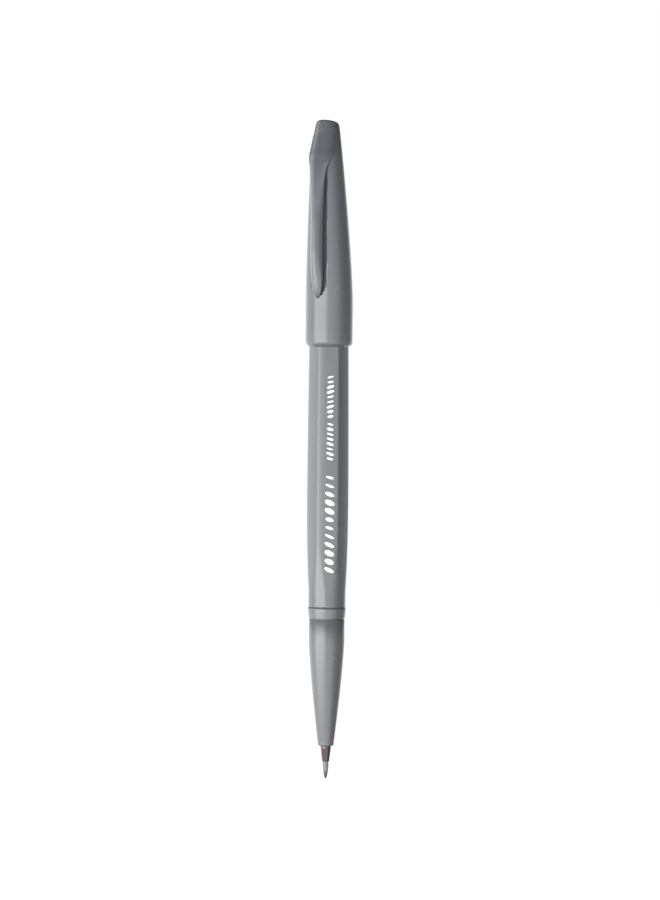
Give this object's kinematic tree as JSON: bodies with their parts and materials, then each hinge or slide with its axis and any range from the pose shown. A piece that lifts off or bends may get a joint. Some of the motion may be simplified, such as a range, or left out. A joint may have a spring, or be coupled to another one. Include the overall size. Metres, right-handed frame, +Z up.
{
  "type": "calligraphy marker",
  "caption": "Slim grey brush-tip calligraphy marker with a hexagonal barrel, a dark nib holder, and a clip cap posted on its tail end.",
  "frame": {"origin": "the writing point, on the pen's axis", "axes": "+Z up the pen's axis, from the nib towards the tail and the posted cap; -Y out of the barrel's printed flat"},
  "size_m": [0.0118, 0.0136, 0.1608],
  "materials": {
    "grey_plastic": "satin moulded",
    "dark_plastic": "glossy moulded",
    "pale_plastic": "natural moulded",
    "clear_film": "thin film",
    "nib_felt": "bonded fibre, inked",
    "ink_fibre": "bundled fibre"
  },
  "bodies": {
    "pen": {"barrel": "grey_plastic", "grip_section": "grey_plastic", "nib_holder": "dark_plastic", "nib_shank": "nib_felt", "reservoir_core": "ink_fibre", "reservoir_wrap": "clear_film"},
    "tail": {"tail_plug": "grey_plastic"},
    "cap": {"cap_shell": "grey_plastic", "inner_cap": "pale_plastic"},
    "clip": {"clip": "grey_plastic"},
    "nib": {"brush_tip": "nib_felt"}
  },
  "joints": [
    {"name": "cap_turn", "type": "hinge", "parent": "pen", "child": "tail", "pos_m": [0, 0, 0.1185], "axis": [0, 0, 1], "continuous": true},
    {"name": "cap_pull", "type": "slide", "parent": "tail", "child": "cap", "axis": [0, 0, 1], "range_m": [0, 0.04]},
    {"name": "clip_flex", "type": "hinge", "parent": "cap", "child": "clip", "pos_m": [-0.00301, -0.00542, 0.151], "axis": [-0.8746, 0.4848, 0], "range_deg": [0, 4], "stiffness_Nm_per_rad": 2},
    {"name": "nib_flex", "type": "hinge", "parent": "pen", "child": "nib", "pos_m": [0, 0, 0.00415], "axis": [0, 1, 0], "range_deg": [-20, 20], "stiffness_Nm_per_rad": 0.004}
  ]
}
